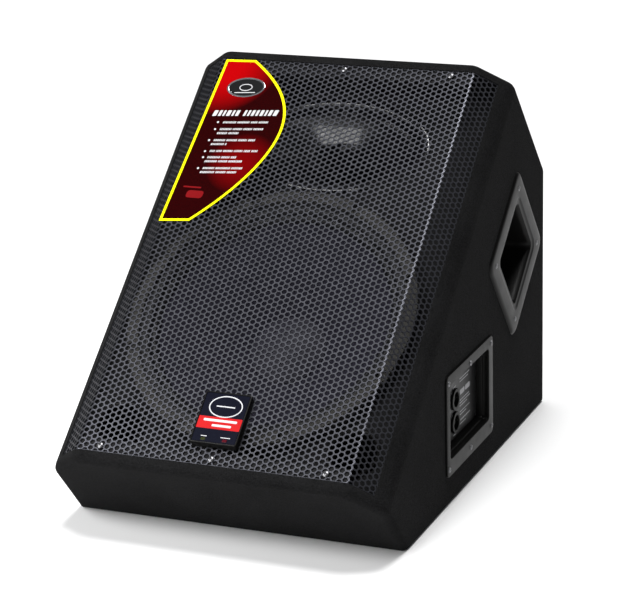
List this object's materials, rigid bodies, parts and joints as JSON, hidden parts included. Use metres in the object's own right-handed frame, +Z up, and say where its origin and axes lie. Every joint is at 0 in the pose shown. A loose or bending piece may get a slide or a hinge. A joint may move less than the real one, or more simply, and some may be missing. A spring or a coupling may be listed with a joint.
{
  "type": "stage monitor wedge",
  "caption": "Carpeted stage monitor wedge with a folded perforated steel grille, woofer, elliptical horn, recessed side input dish and pocket handles.",
  "frame": {"origin": "middle of the bounding box of the cabinet, on the floor it stands on", "axes": "+Z up, +X to the right seen from the front, the kick board and the low edge of the grille face -Y"},
  "size_m": [0.464, 0.6684, 0.5271],
  "materials": {
    "carpet": "short charcoal needle-felt carpet",
    "plywood": "birch plywood, painted matt black",
    "black_wood": "plywood painted matt black",
    "grille_steel": "powder-coated perforated steel, dark grey with a light sheen",
    "screw_steel": "blackened steel screw",
    "moulded_plastic": "black moulded plastic, fine grain",
    "gloss_plastic": "glossy black plastic",
    "card_print": "printed card with a coated face",
    "light_olive": "unlit olive indicator lens",
    "light_red": "unlit dark red indicator lens",
    "cast_alloy": "black-painted cast aluminium",
    "gasket_foam": "grey compressed gasket",
    "doped_cloth": "doped cloth",
    "paper_cone": "ribbed paper pulp",
    "plated_steel": "zinc-plated steel",
    "ferrite": "ferrite",
    "titanium": "thin titanium",
    "circuit_board": "green circuit board",
    "copper_wire": "enamelled copper wire",
    "capacitor_film": "film capacitor sleeve",
    "lead_red": "red insulated lead",
    "lead_blue": "blue insulated lead",
    "wadding": "polyester wadding"
  },
  "bodies": {
    "cabinet": {"carpet_left": "carpet", "carpet_right": "carpet", "carpet_kick": "carpet", "carpet_top": "carpet", "carpet_rear": "carpet", "carpet_floor": "carpet", "side_panel_left": "plywood", "side_panel_right": "plywood", "kick_panel": "plywood", "top_panel": "plywood", "rear_panel": "plywood", "floor_panel": "plywood", "baffle": "black_wood", "grille_cleat_lower": "black_wood", "grille_cleat_upper": "black_wood", "grille": "grille_steel", "grille_screw_1": "screw_steel", "grille_screw_2": "screw_steel", "grille_screw_3": "screw_steel", "grille_screw_4": "screw_steel", "grille_screw_5": "screw_steel", "grille_screw_6": "screw_steel", "badge_housing": "moulded_plastic", "port_tube_left": "moulded_plastic", "port_tube_right": "moulded_plastic", "handle_left": "moulded_plastic", "handle_right": "moulded_plastic", "input_dish": "moulded_plastic", "twist_lock_socket_upper": "moulded_plastic", "twist_lock_socket_lower": "moulded_plastic", "jack_socket_upper": "moulded_plastic", "jack_socket_lower": "moulded_plastic", "hf_rear_cover": "moulded_plastic", "badge_face": "gloss_plastic", "horn": "gloss_plastic", "feature_card": "card_print", "badge_light_left": "light_olive", "badge_light_right": "light_red", "woofer_basket": "cast_alloy", "input_plate": "cast_alloy", "woofer_gasket": "gasket_foam", "woofer_surround": "doped_cloth", "woofer_spider": "doped_cloth", "woofer_top_plate": "plated_steel", "woofer_pole_piece": "plated_steel", "hf_pole_piece": "plated_steel", "hf_top_plate": "plated_steel", "woofer_magnet": "ferrite", "hf_magnet": "ferrite", "crossover_board": "circuit_board", "woofer_choke": "copper_wire", "hf_choke": "copper_wire", "hf_capacitor": "capacitor_film", "woofer_lead": "lead_red", "hf_lead": "lead_blue", "wadding": "wadding"},
    "woofer_moving_parts": {"woofer_cone": "paper_cone", "woofer_dust_cap": "paper_cone", "voice_coil": "copper_wire"},
    "hf_moving_parts": {"hf_diaphragm": "titanium"}
  },
  "joints": [
    {"name": "woofer_travel", "type": "slide", "parent": "cabinet", "child": "woofer_moving_parts", "axis": [0, -0.6374, 0.7705], "range_m": [-0.006, 0.006], "stiffness_N_per_m": 7000, "deforming": ["woofer_surround", "woofer_spider"]},
    {"name": "hf_travel", "type": "slide", "parent": "cabinet", "child": "hf_moving_parts", "axis": [0, -0.6374, 0.7705], "range_m": [-0.0004, 0.0004], "stiffness_N_per_m": 400}
  ]
}
